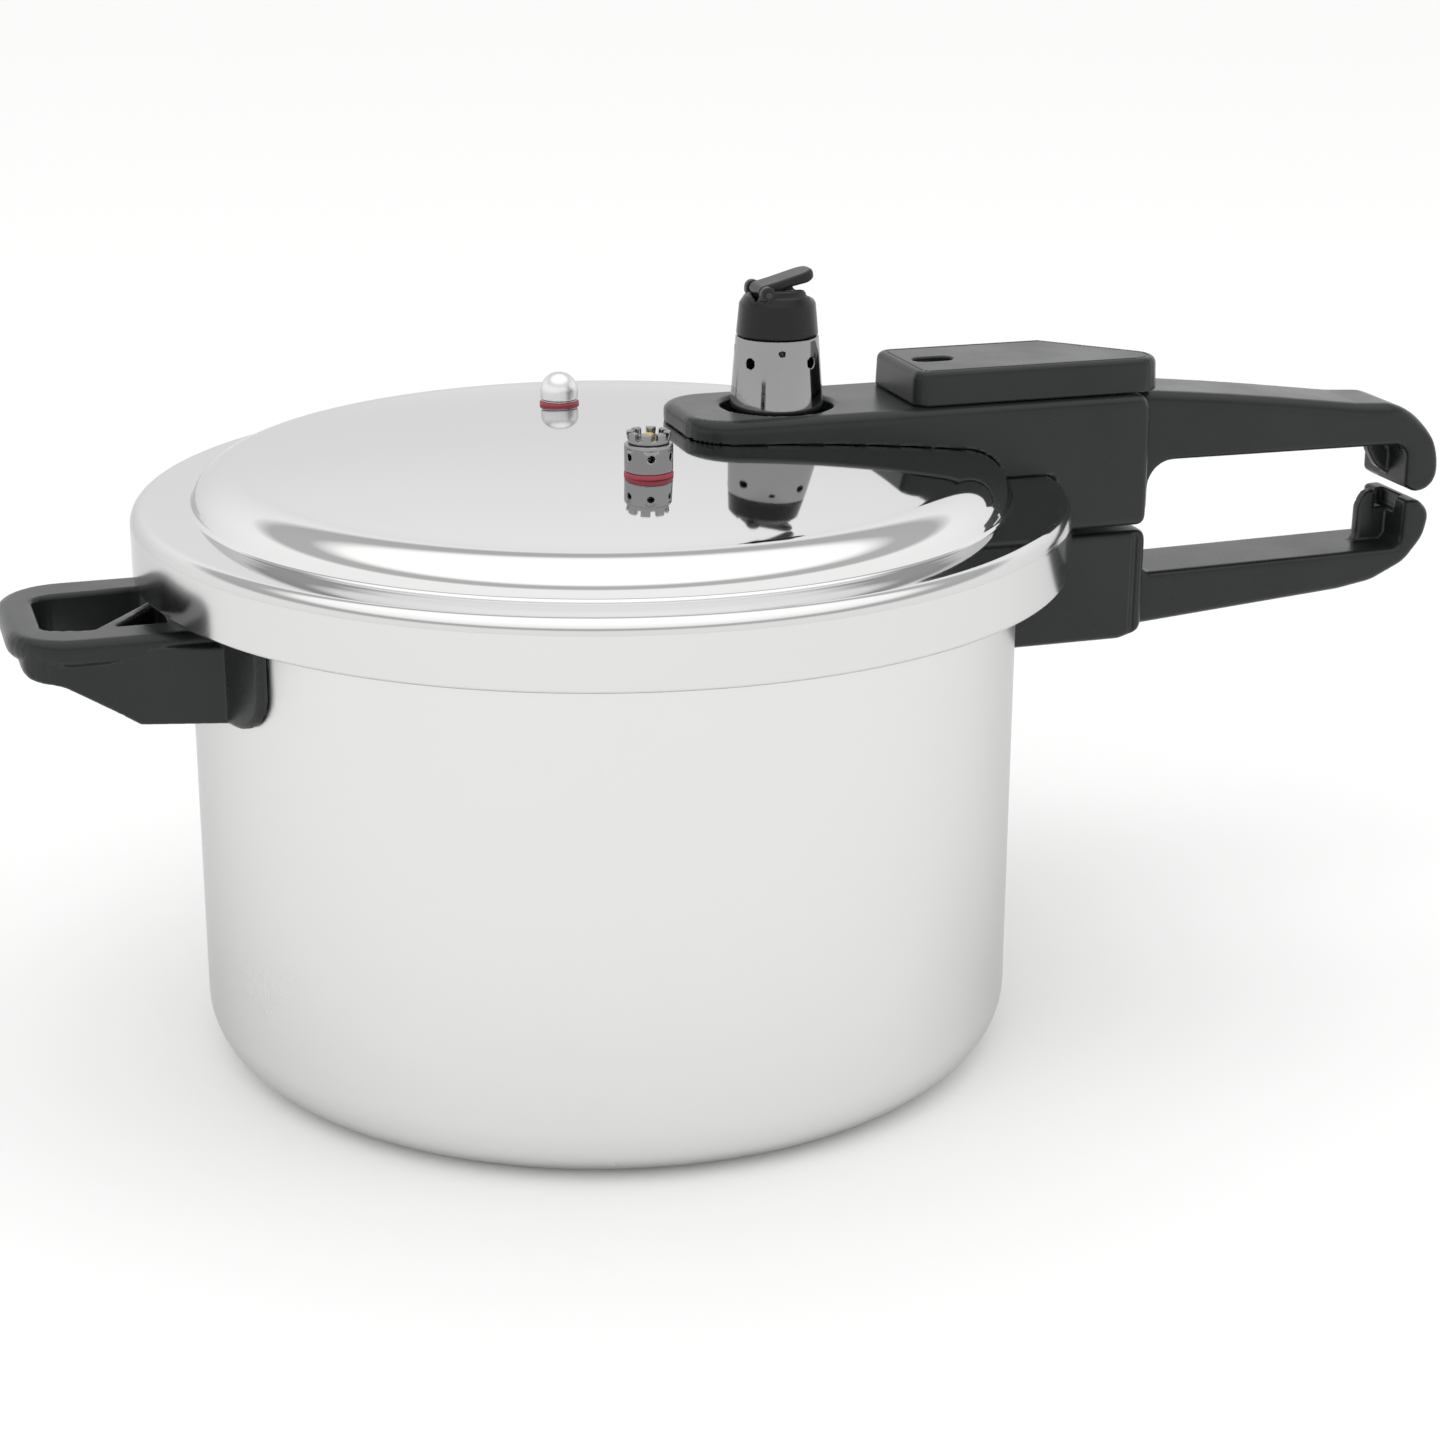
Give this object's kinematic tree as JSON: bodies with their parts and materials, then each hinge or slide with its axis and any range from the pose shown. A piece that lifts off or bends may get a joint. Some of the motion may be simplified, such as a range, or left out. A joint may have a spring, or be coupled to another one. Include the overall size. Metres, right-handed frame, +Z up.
{
  "type": "stovetop pressure cooker",
  "caption": "Aluminium pressure cooker with an outer bayonet lid, hooked two-part long handle, helper handle, lift-off weight, relief valve and pressure indicator.",
  "frame": {"origin": "centre of the pot's flat base, on the surface that it stands on", "axes": "+X along the long handle, +Z up"},
  "size_m": [0.451, 0.277, 0.2312],
  "materials": {
    "satin_aluminium": "fine satin, slightly whitened aluminium",
    "polished_aluminium": "polished aluminium with a soft mirror shine",
    "black_plastic": "charcoal black moulded phenolic plastic, low gloss",
    "steel": "plain stainless steel",
    "chrome": "bright chrome plating",
    "brass": "turned brass",
    "satin_metal": "satin turned aluminium",
    "grey_rubber": "dark grey silicone rubber",
    "red_silicone": "dark red silicone rubber"
  },
  "bodies": {
    "pot": {"pot_body": "satin_aluminium", "pot_handle_bracket": "steel", "pot_handle": "black_plastic", "lock_bush": "steel", "helper_bracket": "steel", "helper_handle": "black_plastic", "handle_screws": "steel"},
    "seal": {"gasket": "grey_rubber"},
    "lid": {"lid_shell": "polished_aluminium", "lid_handle": "black_plastic", "handle_cover": "black_plastic", "cover_screws": "steel", "lid_handle_screws": "steel", "lid_handle_washers": "grey_rubber", "vent_pipe": "steel", "vent_washer": "grey_rubber", "vent_nut": "steel", "vent_strainer": "steel", "lock_spring": "steel", "relief_body": "chrome", "relief_gasket": "red_silicone", "relief_nut": "steel", "relief_crown": "chrome", "relief_spring": "steel", "indicator_bush": "steel", "indicator_gasket": "red_silicone", "indicator_nut": "steel"},
    "weight": {"weight_body": "chrome", "weight_needle": "steel", "weight_cap": "black_plastic", "weight_tab_pin": "steel"},
    "weight_tab": {"weight_tab": "black_plastic"},
    "lock_slide": {"lock_slide": "black_plastic"},
    "lock_bolt": {"lock_bolt": "steel"},
    "relief_plunger": {"relief_plunger": "brass"},
    "indicator": {"indicator_dome": "satin_metal", "indicator_clip": "steel"}
  },
  "joints": [
    {"name": "lid_lift", "type": "slide", "parent": "pot", "child": "seal", "axis": [0, 0, 1], "range_m": [0, 0.12]},
    {"name": "lid_turn", "type": "hinge", "parent": "seal", "child": "lid", "pos_m": [0, 0, 0.165], "axis": [0, 0, 1], "range_deg": [0, 30]},
    {"name": "weight_lift", "type": "slide", "parent": "lid", "child": "weight", "axis": [0, 0, 1], "range_m": [0, 0.05]},
    {"name": "tab_flip", "type": "hinge", "parent": "weight", "child": "weight_tab", "pos_m": [0.0485, 0, 0.2246], "axis": [0, -1, 0], "range_deg": [0, 60]},
    {"name": "lock_slide_push", "type": "slide", "parent": "lid", "child": "lock_slide", "axis": [1, 0, 0], "range_m": [0, 0.006]},
    {"name": "lock_bolt_drop", "type": "slide", "parent": "lid", "child": "lock_bolt", "axis": [0, 0, -1], "range_m": [0, 0.006], "stiffness_N_per_m": 150, "deforming": ["lock_spring"]},
    {"name": "relief_lift", "type": "slide", "parent": "lid", "child": "relief_plunger", "axis": [0, 0, 1], "range_m": [0, 0.0015], "stiffness_N_per_m": 2000, "deforming": ["relief_spring"]},
    {"name": "indicator_rise", "type": "slide", "parent": "lid", "child": "indicator", "axis": [0, 0, 1], "range_m": [0, 0.003]}
  ],
  "couplings": [
    {"joint": "lock_bolt_drop", "follows": "lock_slide_push", "ratio": 1}
  ]
}
